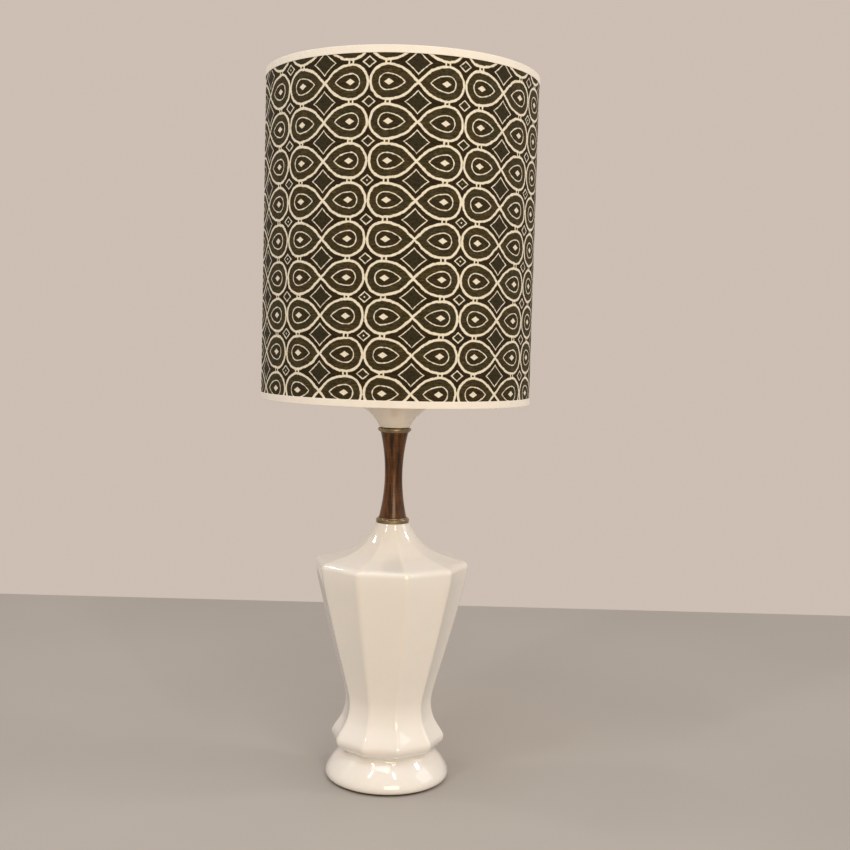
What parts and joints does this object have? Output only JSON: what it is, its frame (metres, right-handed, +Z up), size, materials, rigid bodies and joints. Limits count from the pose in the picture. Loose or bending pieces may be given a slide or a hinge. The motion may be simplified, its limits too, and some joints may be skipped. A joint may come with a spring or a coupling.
{
  "type": "table lamp with shade",
  "caption": "Table lamp with a fluted white ceramic body, turned walnut neck, flared glass bowl and tall printed drum shade on a harp.",
  "frame": {"origin": "centre of the felt pad's underside, on the lamp's axis", "axes": "+Z up along the lamp's axis, -Y towards the viewer (switch knob side), +Y towards the cord inlet, +X to the viewer's right"},
  "size_m": [0.2794, 0.2794, 0.7424],
  "materials": {
    "felt": "matte wool felt",
    "glaze": "gloss ivory-white glaze",
    "bushing": "moulded brown plastic",
    "zinc_steel": "zinc-plated steel",
    "antique_brass": "antique satin",
    "walnut": "dark walnut, satin lacquer",
    "gasket": "matte",
    "opal_glass": "cream opal glass, polished",
    "socket_brass": "bright stamped brass",
    "liner_card": "insulating card",
    "phenolic": "moulded phenolic",
    "contact_brass": "bright",
    "knob": "polished moulded plastic",
    "nickel": "nickel-plated",
    "bulb_envelope": "frosted glass",
    "stem_glass": "clear glass",
    "filament": "drawn tungsten",
    "harp_brass": "satin brass plate",
    "styrene": "white shade styrene",
    "print_cloth": "printed cotton, brown-olive with cream lines",
    "trim_cloth": "off-white cotton tape"
  },
  "bodies": {
    "lamp_base": {"felt_pad": "felt", "ceramic_body": "glaze", "cord_bushing": "bushing", "base_washer": "zinc_steel", "base_lock_washer": "zinc_steel", "base_nut": "zinc_steel", "threaded_rod": "zinc_steel", "lower_neck_ring": "antique_brass", "walnut_neck": "walnut", "upper_neck_ring": "antique_brass", "bowl_gasket_lower": "gasket", "diffuser_bowl": "opal_glass", "bowl_gasket_upper": "gasket", "bowl_washer": "zinc_steel", "bowl_nut": "zinc_steel", "neck_tube": "socket_brass", "harp_saddle": "harp_brass", "socket_cap": "socket_brass", "socket_set_screw": "zinc_steel", "socket_shell": "socket_brass", "socket_liner": "liner_card", "socket_interior": "phenolic", "terminal_screws": "contact_brass", "screw_shell": "contact_brass", "centre_contact": "contact_brass", "harp_wire": "harp_brass", "harp_stud": "harp_brass"},
    "switch": {"switch_shaft": "zinc_steel", "switch_knob": "knob"},
    "bulb": {"bulb_contact": "nickel", "bulb_insulator": "phenolic", "bulb_base": "nickel", "bulb_glass": "bulb_envelope", "bulb_stem": "stem_glass", "bulb_filament": "filament"},
    "sleeve_left": {"harp_sleeve_left": "harp_brass"},
    "sleeve_right": {"harp_sleeve_right": "harp_brass"},
    "shade": {"spider": "harp_brass", "shade_top_ring": "harp_brass", "shade_bottom_ring": "harp_brass", "shade_liner": "styrene", "shade_cover": "print_cloth", "top_trim": "trim_cloth", "bottom_trim": "trim_cloth"},
    "finial": {"finial": "harp_brass"}
  },
  "joints": [
    {"name": "switch_turn", "type": "hinge", "parent": "lamp_base", "child": "switch", "pos_m": [0, 0, 0.434], "axis": [0, -1, 0], "continuous": true},
    {"name": "bulb_turn", "type": "hinge", "parent": "lamp_base", "child": "bulb", "pos_m": [0, 0, 0.447], "axis": [0, 0, 1], "continuous": true},
    {"name": "sleeve_left_slide", "type": "slide", "parent": "lamp_base", "child": "sleeve_left", "axis": [0, 0, 1], "range_m": [0, 0.012]},
    {"name": "sleeve_right_slide", "type": "slide", "parent": "lamp_base", "child": "sleeve_right", "axis": [0, 0, 1], "range_m": [0, 0.012]},
    {"name": "shade_swivel", "type": "hinge", "parent": "lamp_base", "child": "shade", "pos_m": [0, 0, 0.716], "axis": [0, 0, 1], "continuous": true},
    {"name": "finial_turn", "type": "hinge", "parent": "lamp_base", "child": "finial", "pos_m": [0, 0, 0.718], "axis": [0, 0, 1], "continuous": true}
  ]
}
